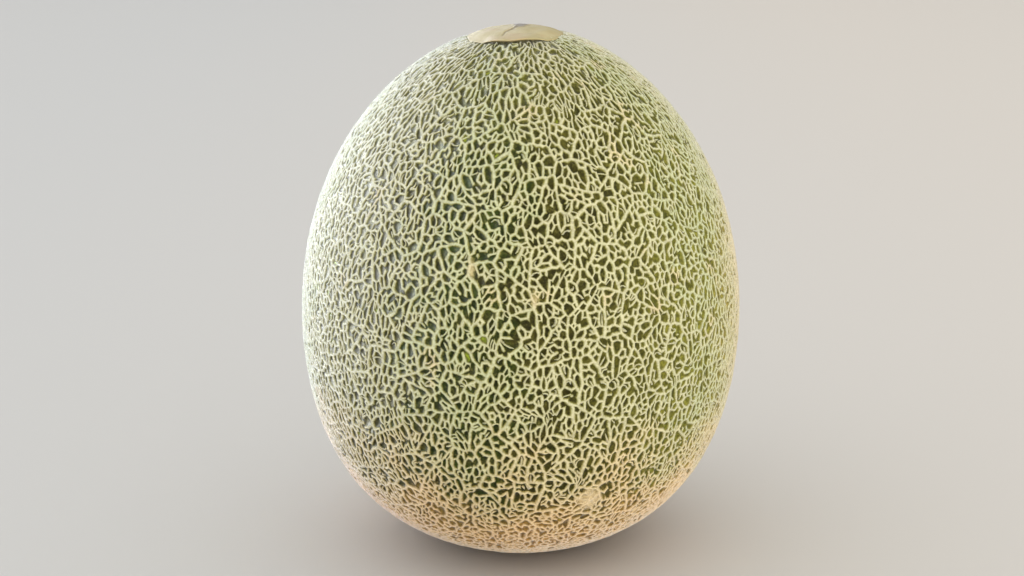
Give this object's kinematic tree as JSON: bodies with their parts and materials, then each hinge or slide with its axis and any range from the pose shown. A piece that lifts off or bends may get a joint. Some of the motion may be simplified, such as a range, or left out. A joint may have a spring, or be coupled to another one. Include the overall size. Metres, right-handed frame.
{
  "type": "netted cantaloupe melon",
  "caption": "Whole oval melon with a fine raised net over a green and tan rind, a smooth corky scar plate on top and a small flat spot to rest on.",
  "frame": {"origin": "middle of the flat spot that the melon rests on, straight below the middle of the fruit", "axes": "+Z along the fruit's long axis, from the flat spot to the corky scar plate; -Y is the side that the picture shows"},
  "size_m": [0.1545, 0.1544, 0.1846],
  "materials": {
    "netted_rind": "matt raised net of cream to tan cork over a satin rind, green to olive",
    "corky_scar": "matt, smooth, fine grained tan cork with a grey-brown spot and a thin crack"
  },
  "bodies": {
    "root": {"melon": "netted_rind"}
  },
  "joints": []
}
